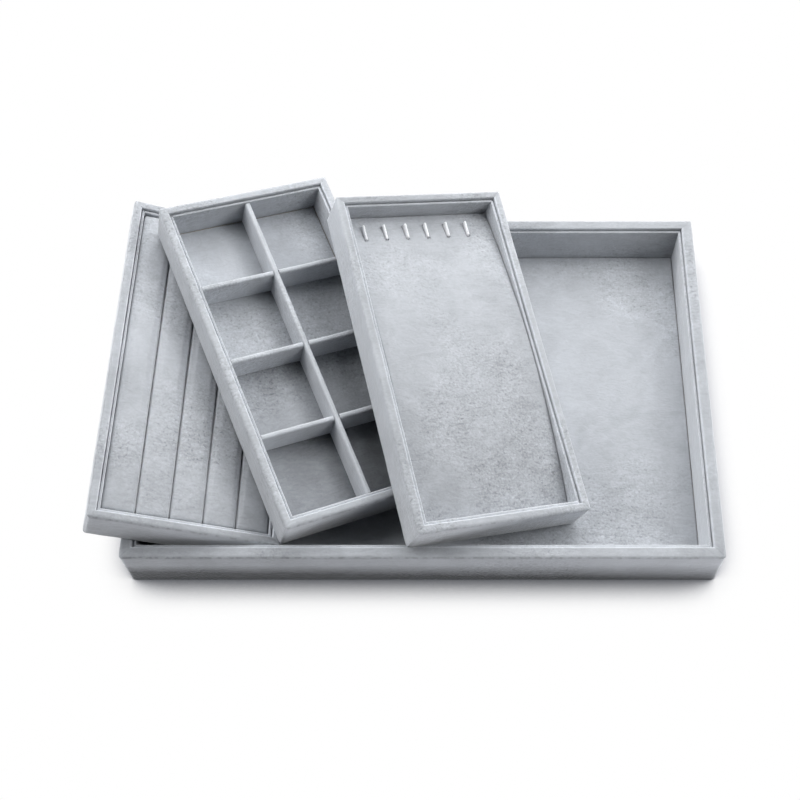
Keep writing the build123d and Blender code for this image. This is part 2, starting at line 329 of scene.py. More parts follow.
FELT_TONES = (0.5, 1.5)    # shares of its colour, darkest and lightest
FIBRE_SIZE = 0.8 * MM
FIBRE_DEPTH = 0.9
MAT_SIZE = 9 * MM
MAT_DEPTH = 0.3
FELT_BUMP = 0.3 * MM
BOARD_TONES = (0.6, 1.4)
PULP_SIZE = 2.5 * MM
PULP_DEPTH = 0.5
PULP_FLECK_SIZE = 0.7 * MM
PULP_FLECK_DEPTH = 0.25
PULP_FLECK_EDGE = (0.10, 0.16)
BOARD_BUMP = 0.1 * MM


def toned(colour, factor=1.0):
    """A colour made lighter or darker, with full alpha."""
    return [min(1.0, part * factor) for part in colour] + [1.0]


def new_material(name):
    """An empty material and the net that fills it."""
    material = bpy.data.materials.new(name)
    material.use_nodes = True
    return material, Net(material.node_tree)


def finish_material(net, colour, bump_height, bump_depth, constants):
    """Closes a material with its surface shader and its bump."""
    bump = net.wire("ShaderNodeBump", {"Height": bump_height, "Distance": bump_depth, "Strength": 1.0})
    inputs = {"Base Color": colour, "Normal": bump, **constants}
    surface = net.wire("ShaderNodeBsdfPrincipled", inputs)
    net.node("ShaderNodeOutputMaterial", {"Surface": surface})


def velvet(name, colour=None):
    """Velvet: cloudy where the pile lies different ways, brushed or rough, flecked, bright at a slant."""
    found = bpy.data.materials.get(name)
    if found:
        return found
    look = bpy.context.scene.velvet_look
    colour = colour or look.colour
    material, net = new_material(name)
    place = net.wire("ShaderNodeTexCoord", output="Object")
    face = net.wire("ShaderNodeUVMap", uv_map=NAP)
    brushed = net.wire("ShaderNodeMapping", {
        "Vector": face, "Rotation": (0, 0, STROKE_TURN), "Scale": (STROKE_STRETCH, 1, 1)})
    clouds = net.noise(place, look.cloud_size, detail=2, distortion=0.8)
    strokes = net.noise(brushed, look.stroke_size, detail=3, distortion=1.6)
    tufts = net.noise(place, look.pile_size, detail=1)
    patches = net.noise(net.vector("ADD", place, ROUGH_START), ROUGH_SIZE)
    rough = BRUSHED_GRAIN + net.smooth_step(patches, *ROUGH_EDGE) * (1 - BRUSHED_GRAIN)
    flecks = net.smooth_step(net.noise(place, FLECK_SIZE, detail=0), *FLECK_EDGE)
    glints = net.smooth_step(net.noise(place, GLINT_SIZE, detail=0) * -1.0, *GLINT_EDGE)
    broken = net.smooth_step(net.noise(place, look.stroke_size), *PARTING_EDGE)
    grain = tufts * look.pile_depth - flecks * look.fleck_depth + glints * GLINT_DEPTH
    marks = strokes * look.stroke_depth * (BRUSHED_STROKE + rough)
    tone = 1 + clouds * look.cloud_depth + marks + grain * rough
    # The base colour takes the shade attribute: painted shade, and painted light where it is below 0
    tone = tone - net.attribute(PARTING) * broken * look.parting_depth - net.attribute(SHADE)
    toned_pile = net.scaled(tuple(colour), net.math("MAXIMUM", tone, DARKEST))
    finish_material(net, toned_pile, tufts * rough + strokes * STROKE_BUMP, PILE_BUMP, {
        "Roughness": 1.0, "Specular IOR Level": 0.08, "Sheen Weight": look.sheen, "Sheen Roughness": 0.45,
        "Sheen Tint": (0.95, 0.97, 1.0, 1.0)})
    return material


def felt(name):
    """Pressed felt: matted fibres, darker than the velvet."""
    look = bpy.context.scene.velvet_look
    material, net = new_material(name)
    place = net.wire("ShaderNodeTexCoord", output="Object")
    fibres = net.noise(place, FIBRE_SIZE, detail=4, distortion=2)
    mats = net.noise(place, MAT_SIZE, detail=2)
    tone = 0.5 + fibres * FIBRE_DEPTH + mats * MAT_DEPTH
    mixed = net.blend(tone, *(toned(look.felt_colour, share) for share in FELT_TONES))
    finish_material(net, mixed, fibres, FELT_BUMP, {
        "Roughness": 1.0, "Specular IOR Level": 0.1, "Sheen Weight": 0.2, "Sheen Roughness": 0.5})
    return material


def bare_board(name):
    """Grey board: pulp flecks and a slightly uneven face."""
    look = bpy.context.scene.velvet_look
    material, net = new_material(name)
    place = net.wire("ShaderNodeTexCoord", output="Object")
    flecks = net.smooth_step(net.noise(place, PULP_FLECK_SIZE, detail=1), *PULP_FLECK_EDGE)
    pulp = net.noise(place, PULP_SIZE, detail=4)
    tone = 0.5 + pulp * PULP_DEPTH - flecks * PULP_FLECK_DEPTH
    mixed = net.blend(tone, *(toned(look.board_colour, share) for share in BOARD_TONES))
    finish_material(net, mixed, pulp, BOARD_BUMP, {"Roughness": 0.9, "Specular IOR Level": 0.25})
    return material


# Covers in general

WAVE_COUNT = 9
WAVE_SPREAD = (0.6, 1.7)      # of the wavelength that is asked for
WANDER_WAVES = ((26 * MM, 0.6, 3), (7 * MM, 0.4, 5))    # wavelength, share and seed
CREASE = math.radians(50)     # an edge bent further than this stays sharp
NAP_SHIFT = 0.5               # metres between the maps of faces that look along x, y and z


def waves(points, length, seed):
    """Gentle unevenness between 0 and 1, over a given wavelength."""
    chance = np.random.default_rng(seed)
    heading = chance.normal(size=(3, WAVE_COUNT))
    turns = chance.uniform(*WAVE_SPREAD, WAVE_COUNT) * 2 * math.pi / length
    heading *= turns / np.linalg.norm(heading, axis=0)
    start = chance.uniform(0, 2 * math.pi, WAVE_COUNT)
    height = np.sin(points @ heading + start).sum(-1) / math.sqrt(2 * WAVE_COUNT)
    return np.clip(0.5 + height / 2, 0, 1)


def cloth_offset(points, shape):
    """How far the cloth lies in from its nominal face, at each point."""
    return shape.wander * sum(share * waves(points, length, seed) for length, share, seed in WANDER_WAVES)


def project_nap(mesh):
    """Lays the nap's UV map flat on each face, in metres."""
    corners = read(mesh.loops, "vertex_index", kind=int)[:, 0]
    totals = read(mesh.polygons, "loop_total", kind=int)[:, 0]
    normals = read(mesh.polygons, "normal", 3)
    across = np.abs(np.repeat(normals, totals, axis=0)).argmax(1)
    flat = np.array([[1, 2], [0, 2], [0, 1]])[across]
    places = np.take_along_axis(mesh_points(mesh)[corners], flat, axis=1)
    layer = mesh.uv_layers.new(name=NAP)
    layer.data.foreach_set("uv", (places + across[:, None] * NAP_SHIFT).ravel())


def tidy_mesh(mesh):
    """Merges doubles, drops loose points and turns the faces outwards."""
    work = bmesh.new()
    work.from_mesh(mesh)
    bmesh.ops.remove_doubles(work, verts=work.verts, dist=SAME)
    bmesh.ops.delete(work, geom=[point for point in work.verts if not point.link_faces], context="VERTS")
    bmesh.ops.recalc_face_normals(work, faces=work.faces)
    work.to_mesh(mesh)
    work.free()


def cover(tray, part, mesh, material):
    node = f"{tray.name}_{part}"
    tidy_mesh(mesh)
    project_nap(mesh)
    mesh.polygons.foreach_set("use_smooth", [True] * len(mesh.polygons))
    mesh.set_sharp_from_angle(angle=CREASE)
    mesh.transform(tray.matrix())
    mesh.materials.clear()
    mesh.materials.append(material)
    piece = put(node + "_cover", mesh)
    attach(piece, tray.name)
    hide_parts(node)
    return piece


def put(name, data):
    """A new object in the scene."""
    made = bpy.data.objects.new(name, data)
    bpy.context.scene.collection.objects.link(made)
    return made


def mark(mesh, label, values):
    """Writes one of the velvet's attributes at each point."""
    layer = mesh.attributes.new(label, "FLOAT", "POINT")
    layer.data.foreach_set("value", np.ascontiguousarray(values, np.float32).ravel())


def mesh_of(name, points, faces, **marks):
    """A mesh from arrays, with the velvet's attributes at each point."""
    mesh = bpy.data.meshes.new(name)
    mesh.from_pydata([tuple(point) for point in points], [], faces)
    for label, values in marks.items():
        mark(mesh, label, values)
    return mesh


ARC_STEPS = 6


def rounded_loop(thickness, low, high, rounds, flat_steps):
    """A board's section, up its outer face and down its inner one. Points, normals, corner numbers."""
    foot, outer, inner = rounds
    corners = [(0, low, foot), (0, high, outer), (thickness, high, inner), (thickness, low, foot)]
    travel = [(0, 1), (1, 0), (0, -1), (-1, 0)]
    points = []
    numbers = []
    for index, (x, z, radius) in enumerate(corners):
        arrive = np.array(travel[index - 1], float)
        leave = np.array(travel[index], float)
        centre = np.array([x, z]) + radius * (leave - arrive)
        for step in range(ARC_STEPS + 1):
            turned = math.pi / 2 * step / ARC_STEPS
            points.append(centre - radius * (math.cos(turned) * leave - math.sin(turned) * arrive))
            numbers.append(index)
        after = corners[(index + 1) % len(corners)]
        end = np.array(after[:2]) - after[2] * leave
        start = points[-1]
        for step in range(1, flat_steps[index]):
            points.append(start + (end - start) * step / flat_steps[index])
            numbers.append(-1)
    points = np.array(points)
    run = np.roll(points, -1, axis=0) - np.roll(points, 1, axis=0)
    run /= np.linalg.norm(run, axis=1)[:, None]
    return points, np.stack([-run[:, 1], run[:, 0]], 1), np.array(numbers)


def bend_share(numbers, corner, middle, spread):
    """1 at one step of a section's rounded corner, fading to 0 on both sides."""
    bend = np.flatnonzero(numbers == corner)
    share = np.zeros(len(numbers))
    share[bend] = np.clip(1 - np.abs(np.arange(len(bend)) - middle) / spread, 0, 1)
    return share


def round_drop(distance, radius):
    """How far a rounded edge has dropped at a distance in from it."""
    inside = np.clip(radius - distance, 0, radius)
    return radius - np.sqrt(np.clip(radius ** 2 - inside ** 2, 0, None))


def loft(rings):
    """Points and faces of rings that are joined one to the next, with a cap on each end."""
    numbers = np.arange(rings[..., 0].size).reshape(rings.shape[:2])
    beside = np.roll(numbers, -1, axis=1)
    around = np.stack([numbers[:-1], beside[:-1], beside[1:], numbers[1:]], -1).reshape(-1, 4)
    return rings.reshape(-1, 3), [*around.tolist(), numbers[0].tolist(), numbers[-1].tolist()]


# Walls and liners

END_LENGTH = 2.4 * MM      # stretch at a mitre where points crowd
END_SHARES = (0, 0.12, 0.25, 0.42, 0.65, 1.0, 1.5, 2.2)    # of that stretch
FLAT_CROWD = 1.5           # how much closer the points of a rim lie
STRIP_FOOT = 0.4 * MM      # rounding at the foot
SEAM_REACH = 0.55 * MM
SLIDE_REACH = 4 * MM       # over this length an end slides along to stay on the mitre

# Parting along the outer upper edge, then painted shade at an outer face's foot, painted light above it, and
# a painted highlight along a lip
SIDE_PARTING_AND_PAINTED_LIGHT = {"front": (1.0, 0.95, 0.33, 0.45), "right": (0.35, 0.50, 0.10, 0.45),
            "back": (0.45, 0.45, 0.0, 0.12), "left": (0.35, 0.05, 0.36, 0.50)}
FOLD = (2.4, 1.6)          # where on a rounding the parting lies and how far it reaches, in steps
LIP = (3, 4)               # and the painted highlight along a lip
SEAM_PARTING = 0.22
FOOT_REACH = 0.55          # share of the height where the painted shade at the foot turns into painted light
FACE_ENDS = {"large_tray_wall_front": (-0.32, 0.33), "ring_tray_wall_left": (0.05, -0.16),
             "grid_tray_wall_left": (0.06, -0.17), "pendant_tray_wall_front": (0.14, 0.14),
             "pendant_tray_wall_left": (0.42, 0.08)}    # painted light that an outer face gains at its two ends, below 0 painted shade
FOOT_ENDS = {"ring_tray_wall_front": (0.2, 1.4),
             "large_tray_wall_front": (1.8, 1.2)}       # share of the painted shade at the foot, at a face's two ends
RIM_PAINTED_SHADE = {"large_tray": 0.14, "ring_tray": 0.08, "ring_tray_wall_front": 0.20,
           "pendant_tray_wall_left": 0.10, "pendant_tray_wall_back": 0.20}    # painted shade of the rims
WALL_PAINTED_SHADE = 0.32            # painted shade at the right end of a face that looks to the front
WALL_TURN = 4              # how late it comes
INNER_PAINTED_SHADE = {"large_tray": (-0.25, 0.5, 10)}    # a tray's own such painted shade, below 0 painted light: at both ends, and how late it turns


def stations(reach, step):
    """Shares of the way from a wall's end to its middle, close together near the end."""
    near = [share * END_LENGTH / reach for share in END_SHARES]
    count = max(2, round((reach - near[-1] * reach) / step))
    half = near + [near[-1] + (1 - near[-1]) * index / count for index in range(1, count + 1)]
    return np.array(half)


def painted_strip_shade(tray, stem, side, rise, run, across, normals):
    """Painted shade and light of a strip: at the foot of its outer face and above it, on its rim and on a
    face that looks to the front.
    """
    node = f"{tray.name}_{stem}_{side}"
    _, foot, light, _ = SIDE_PARTING_AND_PAINTED_LIGHT[side]
    foot = foot * np.interp(run, (-1, 1), FOOT_ENDS.get(node, (1, 1)))
    face = np.maximum(foot * (1 - rise / FOOT_REACH), -light)
    face = face - np.interp(run, (-1, 1), FACE_ENDS.get(node, (0, 0)))
    rim = RIM_PAINTED_SHADE.get(node, RIM_PAINTED_SHADE.get(tray.name, 0))
    shade = np.clip(-normals[:, 0], 0, 1) * face + rim * np.clip(normals[:, 1], 0, 1)
    start, end, turn = INNER_PAINTED_SHADE.get(tray.name, (0, WALL_PAINTED_SHADE, WALL_TURN))
    inner = np.clip(normals[:, 0], 0, 1) * (side == "back")
    return shade + inner * (start + (end - start) * across ** turn)


def strip_mesh(tray, stem, side, shape, rounds, corner_round, painted_highlight_corners):
    """A covered strip with mitred ends that meet its neighbours': a wall or a liner."""
    along, inwards = (np.array(way, float) for way in SIDES[side])
    low, high = tray.box(f"{stem}_{side}")
    size = high - low
    thickness = abs(size[:2] @ inwards)
    outer = (low + high)[:2] / 2 - inwards * thickness / 2
    upright = max(3, round(size[2] / shape.step))
    flat = max(2, round(thickness / shape.step * FLAT_CROWD))
    section, normals, numbers = rounded_loop(
        thickness, low[2], high[2], (STRIP_FOOT, *rounds), (upright, flat, upright // 2, flat))
    reach = abs(tray.outline(stem) @ along) / 2
    ease = np.maximum(section[:, 0], corner_round * (1 - math.sqrt(0.5)))
    half = stations(reach, shape.step)
    shares = np.concatenate([half, half[-2::-1]])[:, None]
    from_end = ease + (reach - ease) * shares
    sign = np.where(np.arange(len(shares)) < len(half), -1.0, 1.0)[:, None]
    position = sign * (reach - from_end)
    depth = np.maximum(section[:, 0], round_drop(from_end, corner_round))
    seam = np.exp(-((from_end - ease) / SEAM_REACH) ** 2) * np.clip(normals[:, 1], 0, 1)
    height = section[:, 1] - shape.seam_dip * seam
    flat_place = outer + position[..., None] * along + depth[..., None] * inwards
    rings = np.concatenate([flat_place, height[..., None]], -1)
    outward = np.concatenate([normals[:, :1] * inwards, normals[:, 1:]], -1)
    offset = cloth_offset(rings, shape)
    rings = rings - outward * offset[..., None]
    slide = sign * normals[:, 0] * offset * np.exp(-((from_end - ease) / SLIDE_REACH) ** 2)
    rings[..., :2] += slide[..., None] * along
    fold_parting, _, _, lip_painted_highlight = SIDE_PARTING_AND_PAINTED_LIGHT[side]
    fold = bend_share(numbers, 1, *FOLD) * fold_parting
    parting = np.maximum(np.broadcast_to(fold, seam.shape), seam * SEAM_PARTING)
    rise = (section[:, 1] - low[2]) / size[2]
    across = tray.share(0, rings[..., 0])
    shade = painted_strip_shade(tray, stem, side, rise, position / reach, across, normals)
    # Painted highlight along the rounding of each lip
    for corner in painted_highlight_corners:
        shade = shade - lip_painted_highlight * bend_share(numbers, corner, *LIP)
    points, faces = loft(rings)
    return mesh_of(f"{stem}_{side}", points, faces, parting=parting, shade=shade)


# Floors and the panel

EDGE_SHARES = (0, 0.06, 0.2, 0.42, 0.7, 1.0, 1.6)      # of a rounding, where its grid lines lie
CLOSEST = 0.05 * MM        # between two grid lines
EXTRA_ROOM = CLOSEST * 6   # round a line that is put in
PAD_STEP = 1.5             # spacing of a pad's lines beside a wall's

FLOOR_PAINTED_SHADE = {"large_tray": (-0.34, 0.10, 0.30), "grid_tray": (-0.32, 0.36, 0.62),
             "pendant_tray": (-0.05, 0.12, 0.22)}    # painted shade at a floor's back, its front and in its corners, below 0 painted light
FLOOR_TURN = 1.3           # how late the painted shade comes, from a floor's back to its front
CELL_TURN = 5              # how late it comes, from a compartment's front to its back
CELL_LEFT = 0.3            # share of a compartment's painted back shade at its left end
CELL_RIGHT = 0.35          # painted shade along a compartment's right side
CELL_RIGHT_TURN = 7        # how late that comes

END_FACE = 0.05 * MM       # how close to the panel's end its end face's points lie
SLIT_ROUND = 0.5 * MM
BESIDE_SLIT = [share * MM for share in (0, 0.08, 0.22, 0.45, 0.9)]    # where grid lines follow a slit's sides
BEYOND_SLIT = [share * MM for share in (0, 0.1, 0.25, 0.5, 0.9)]      # and its ends
SLIT_PARTING = 0.35
SLIT_PARTING_REACH = 0.8 * MM


def grid_lines(low, high, step, edge, extra=()):
    """Grid lines between two ends, crowded at the ends, with others put in where they are needed."""
    inner = edge * EDGE_SHARES[-1]
    count = max(2, round((high - low - 2 * inner) / step))
    lines = [low + edge * share for share in EDGE_SHARES] + [high - edge * share for share in EDGE_SHARES]
    lines += list(np.linspace(low + inner, high - inner, count + 1))
    kept = [line for line in lines if all(abs(line - other) > EXTRA_ROOM for other in extra)]
    merged = []
    for line in sorted([*kept, *extra]):
        if not merged or line - merged[-1] > CLOSEST:
            merged.append(line)
    return np.array(merged)


def plate_mesh(name, xs, ys, top, bottom, hole=None, **rules):
    """A closed plate over a grid of lines, without the cells of its holes. Its attributes follow rules."""
    grid_x, grid_y = np.meshgrid(xs, ys, indexing="ij")
    upper = np.stack([grid_x, grid_y, top(grid_x, grid_y)], -1)
    lower = np.stack([grid_x, grid_y, bottom(grid_x, grid_y)], -1)
    middle_x, middle_y = np.meshgrid((xs[1:] + xs[:-1]) / 2, (ys[1:] + ys[:-1]) / 2, indexing="ij")
    solid = np.ones(middle_x.shape, bool) if hole is None else ~hole(middle_x, middle_y)
    solid = np.pad(solid, 1)
    rows = len(ys)
    under = grid_x.size
    faces = []
    for i, j in zip(*np.nonzero(solid)):
        corner = (i - 1) * rows + j - 1
        cell = (corner, corner + rows, corner + rows + 1, corner + 1)
        faces += [cell, tuple(point + under for point in cell[::-1])]
        for side, (di, dj) in enumerate(((0, -1), (1, 0), (0, 1), (-1, 0))):
            if not solid[i + di, j + dj]:
                near = cell[side]
                far = cell[(side + 1) % len(cell)]
                faces.append((far, near, near + under, far + under))
    points = np.concatenate([upper.reshape(-1, 3), lower.reshape(-1, 3)])
    marks = {label: np.concatenate([rule(grid_x, grid_y).ravel(), np.zeros(under)])
             for label, rule in rules.items()}
    return mesh_of(name, points, faces, **marks)


def level_offset(x, y, shape):
    """How far the cloth of a level piece lies in from its nominal face."""
    return cloth_offset(np.stack([x, y, x * 0], -1), shape)


def painted_floor_shade(tray, x, y):
    """Painted shade of a floor: lighter at its back and darker at its front, and darker towards each
    compartment's back right corner.
    """
    back, front, corner = FLOOR_PAINTED_SHADE[tray.name]
    edges = tray.cells(1)
    share = np.clip((edges[-1] - y) / (edges[-1] - edges[0]), 0, 1)
    across = tray.share(0, x)
    in_corner = tray.share(1, y) ** CELL_TURN * (CELL_LEFT + (1 - CELL_LEFT) * across)
    in_corner = in_corner + CELL_RIGHT * across ** CELL_RIGHT_TURN
    return back + (front - back) * share ** FLOOR_TURN + corner * in_corner


def pad_mesh(tray, shape):
    """A floor pad: a thin cushion whose upper edge is rounded."""
    low, high = tray.box("floor_pad")

    def top(x, y):
        edge = np.minimum(np.minimum(x - low[0], high[0] - x), np.minimum(y - low[1], high[1] - y))
        return high[2] - round_drop(edge, shape.pad_round) - level_offset(x, y, shape)

    xs, ys = (grid_lines(low[axis], high[axis], PAD_STEP * shape.step, shape.pad_round) for axis in (0, 1))
    # The pad carries the floor's painted shade and light
    return plate_mesh("floor_pad", xs, ys, top, lambda x, y: x * 0 + low[2],
                      shade=lambda x, y: painted_floor_shade(tray, x, y))


def hook_places(tray, shape):
    """Middles of the strap hooks across the pendant tray."""
    low, high = tray.box("strap_hooks")
    half = shape.hook_thickness / 2
    return np.linspace(low[0] + half, high[0] - half, shape.hook_count)


def panel_mesh(tray, shape):
    """The arched panel: a bent board in velvet, with a slit for each strap hook."""
    low, high = tray.box("arched_panel")
    points = tray.points("arched_panel")
    half = high[1]
    ends = points[points[:, 1] > half - END_FACE, 2]
    rise = high[2] - ends.max()
    thickness = np.ptp(ends)
    radius = (half ** 2 + rise ** 2) / (2 * rise)
    hooks = hook_places(tray, shape)
    hook_low, hook_high = tray.box("strap_hooks")
    wide = shape.hook_thickness / 2 + shape.slit_gap
    slit_front = hook_low[1] - shape.slit_gap
    slit_back = hook_high[1] + shape.slit_gap

    def from_slit(x, y):
        aside = np.min([np.abs(x - place) for place in hooks], axis=0) - wide
        return np.maximum(aside, np.maximum(slit_front - y, y - slit_back))

    def arch(y, drop):
        return high[2] - radius + np.sqrt((radius - drop) ** 2 - y ** 2)

    def top(x, y):
        edge = np.minimum(np.minimum(x - low[0], high[0] - x), half - np.abs(y))
        lip = round_drop(np.clip(from_slit(x, y), 0, None), SLIT_ROUND)
        return arch(y, 0) - round_drop(edge, shape.pad_round) - lip - level_offset(x, y, shape)

    def parting(x, y):
        return SLIT_PARTING * np.clip(1 - from_slit(x, y) / SLIT_PARTING_REACH, 0, 1)

    beside = [x + sign * (wide + reach) for x in hooks for sign in (-1, 1) for reach in BESIDE_SLIT]
    beyond = [slit_front - reach for reach in BEYOND_SLIT] + [slit_back + reach for reach in BEYOND_SLIT]
    xs = grid_lines(low[0], high[0], shape.step, shape.pad_round, beside)
    ys = grid_lines(-half, half, shape.step, shape.pad_round, beyond)
    # The panel carries the floor's painted shade and light, and the parting round its slits
    return plate_mesh("arched_panel", xs, ys, top, lambda x, y: arch(y, thickness),
                      lambda x, y: from_slit(x, y) < 0, parting=parting, shade=lambda x, y: painted_floor_shade(tray, x, y))


# Dividers

LAP_GAP = 0.15 * MM        # between two dividers where they cross
BOARD_END = 0.5 * MM       # stretch at a divider's end where points crowd
DIVIDER_FOOT = 0.2 * MM    # rounding at the foot
DIVIDER_PAINTED_HIGHLIGHT = 0.16       # painted highlight along a divider's upper edges
LIGHT_STEPS = 5            # how many steps of the rounding it takes to fade
DIVIDER_PAINTED_LIGHT = 0.18         # painted light on a cross divider's front face


def lapped_sections(lines, edges, low, high, from_top):
    """Foot and head of a divider along its lines, both whole and cut where a lap begins or ends."""
    lap = (low + high) / 2
    spans = ((low, high), (low, lap - LAP_GAP) if from_top else (lap, high))
    sections = []
    for line in lines:
        cuts = [any(start < place < end for start, end in zip(edges[::2], edges[1::2]))
                for place in (line - SAME, line + SAME)]
        sections += [(line, *spans[cut]) for cut in dict.fromkeys(cuts)]
    return sections


def board_mesh(tray, name, along_x, shape, notches, from_top):
    """A covered upright board with square ends, cut half through where others cross it."""
    low, high = tray.box(name)
    size = high - low
    length, thickness = (size[0], size[1]) if along_x else (size[1], size[0])
    upright = max(3, round(size[2] / shape.step))
    edges = []
    for notch in notches:
        edges += [notch - thickness / 2 - LAP_GAP, notch + thickness / 2 + LAP_GAP]
    lines = grid_lines(-length / 2, length / 2, shape.step, BOARD_END, edges)
    rounds = (DIVIDER_FOOT, shape.divider_round, shape.divider_round)

    def placed(run, across, up):
        return np.stack([run, across, up] if along_x else [across, run, up], 1)

    rings = []
    shade = []
    for line, foot, head in lapped_sections(lines, edges, low[2], high[2], from_top):
        loop, normals, numbers = rounded_loop(thickness, foot, head, rounds, (upright, 2, upright, 2))
        run = np.full(len(loop), line)
        ring = placed(run, loop[:, 0] - thickness / 2, loop[:, 1])
        facing = placed(run * 0, normals[:, 0], normals[:, 1])
        rings.append(ring - facing * cloth_offset(ring, shape)[:, None])
        # Painted highlight on the upper edges, painted shade towards a front face's right end and painted
        # light over that face
        painted_edge_highlight = DIVIDER_PAINTED_HIGHLIGHT * (bend_share(numbers, 1, ARC_STEPS, LIGHT_STEPS)
                                      + bend_share(numbers, 2, 0, LIGHT_STEPS))
        facing_front = np.clip(-facing[:, 1], 0, 1) if along_x else 0
        painted_face_shade = WALL_PAINTED_SHADE * tray.share(0, ring[:, 0]) ** WALL_TURN - DIVIDER_PAINTED_LIGHT
        shade.append(painted_face_shade * facing_front - painted_edge_highlight)
    middle = (low + high) / 2
    points, faces = loft(np.array(rings) + np.array([middle[0], middle[1], 0]))
    return mesh_of(name, points, faces, shade=np.concatenate(shade))


# Ring rolls and strap hooks, by geometry nodes

ROLL_COUNTS = (19, 90, 11)     # points of a ring roll along x, y and z
ROLL_PAINTED_SHADE = (0.12, -0.16)       # painted shade at its front and back, below 0 painted light
CROWN_REACH = 4 * MM           # height over which the crown comes in
CROWN_TURN = 2.5               # how late it falls off towards the shoulders
ROLL_WAVES = 16 * MM
ROLL_WANDER = 0.5              # share of the cloth's wander
CLOTH_PRESSURE = 4.0
CLOTH_FRAMES = 20
HOOK_COUNTS = (6, 16, 10)
HOOK_ROUND = 0.7 * MM
HOOK_SEED = 4


def new_tree(name, sockets):
    """An empty geometry tree with named inputs, its net and a wire from each input."""
    tree = bpy.data.node_groups.new(name, "GeometryNodeTree")
    tree.interface.new_socket("Geometry", in_out="OUTPUT", socket_type="NodeSocketGeometry")
    for label, kind in sockets.items():
        tree.interface.new_socket(label, in_out="INPUT", socket_type="NodeSocket" + kind)
    net = Net(tree)
    entry = net.node("NodeGroupInput")
    return tree, net, {label: Wire(net, entry.outputs[label]) for label in sockets}


def close_tree(net, geometry, material):
    """Ends a tree in plain, smooth geometry of one material."""
    smooth = net.wire("GeometryNodeSetShadeSmooth", {"Geometry": geometry})
    plain = net.wire("GeometryNodeRealizeInstances", {"Geometry": smooth})
    painted = net.wire("GeometryNodeSetMaterial", {"Geometry": plain, "Material": material})
    net.node("NodeGroupOutput", {"Geometry": painted})


def rounded_block(net, size, radius, counts):
    """A block of many faces whose edges are rounded."""
    block = net.wire("GeometryNodeMeshCube", {
        "Size": size, "Vertices X": counts[0], "Vertices Y": counts[1], "Vertices Z": counts[2]})
    place = net.wire("GeometryNodeInputPosition")
    reach = net.vector("SUBTRACT", net.scaled(size, 0.5), net.joined(X=radius, Y=radius, Z=radius))
    core = net.vector("MAXIMUM", net.vector("MINIMUM", place, reach), net.scaled(reach, -1.0))
    away = net.scaled(net.vector("NORMALIZE", net.vector("SUBTRACT", place, core)), radius)
    rounded = net.vector("ADD", core, away)
    return net.wire("GeometryNodeSetPosition", {"Geometry": block, "Position": rounded})


def roll_tree():
    """Tree of a ring roll: a foam block with soft edges, a low crown and uneven faces."""
    tree, net, given = new_tree("Ring roll", {
        "Size": "Vector", "Shoulder": "Float", "Crown": "Float", "Wander": "Float", "Seed": "Float",
        "Material": "Material"})
    block = rounded_block(net, given["Size"], given["Shoulder"], ROLL_COUNTS)
    place = net.wire("GeometryNodeInputPosition")
    aside = abs(net.part(place, 0)) / (net.part(given["Size"], 0) * 0.5)
    upper = net.smooth_step(net.part(place, 2), 0.0, CROWN_REACH)
    sag = given["Crown"] * aside ** CROWN_TURN * upper
    unevenness = net.wire("ShaderNodeTexNoise", {
        "Vector": place, "W": given["Seed"], "Scale": 1 / ROLL_WAVES, "Detail": 2.0}, noise_dimensions="4D")
    facing = net.wire("GeometryNodeInputNormal")
    inward = net.scaled(facing, (unevenness - 1.0) * given["Wander"])
    offset = net.vector("ADD", inward, net.joined(Z=sag * -1.0))
    shaped = net.wire("GeometryNodeSetPosition", {"Geometry": block, "Offset": offset})
    close_tree(net, shaped, given["Material"])
    return tree


def hook_tree():
    """Tree of a row of strap hooks: short rounded tongues, each with a lean of its own."""
    tree, net, given = new_tree("Strap hooks", {
        "Size": "Vector", "Round": "Float", "Count": "Int", "Spacing": "Vector", "Lean": "Float",
        "Seed": "Int", "Material": "Material"})
    tongue = rounded_block(net, given["Size"], given["Round"], HOOK_COUNTS)
    row = net.wire("GeometryNodeMeshLine", {"Count": given["Count"], "Offset": given["Spacing"]})
    lean = net.wire("FunctionNodeRandomValue", {
        2: given["Lean"] * -1.0, 3: given["Lean"], "Seed": given["Seed"]}, 1, data_type="FLOAT")
    turn = net.wire("FunctionNodeEulerToRotation", {0: net.joined(Y=lean)})
    hooks = net.wire("GeometryNodeInstanceOnPoints", {
        "Points": row, "Instance": tongue, "Rotation": turn})
    close_tree(net, hooks, given["Material"])
    return tree


def evaluated(holder):
    """An object as its modifiers leave it."""
    return holder.evaluated_get(bpy.context.evaluated_depsgraph_get())


def taken_from(holder):
    """The plain mesh of an object as its modifiers leave it. The object goes."""
    mesh = bpy.data.meshes.new_from_object(evaluated(holder))
    bpy.data.objects.remove(holder)
    return mesh


def grown(name, tree, values):
    """The plain mesh that a tree gives for these inputs."""
    holder = put(name, bpy.data.meshes.new(name))
    modifier = holder.modifiers.new(tree.name, "NODES")
    modifier.node_group = tree
    for item in tree.interface.items_tree:
        if item.name in values:
            modifier[item.identifier] = values[item.name]
    bpy.context.view_layer.update()
    return taken_from(holder)


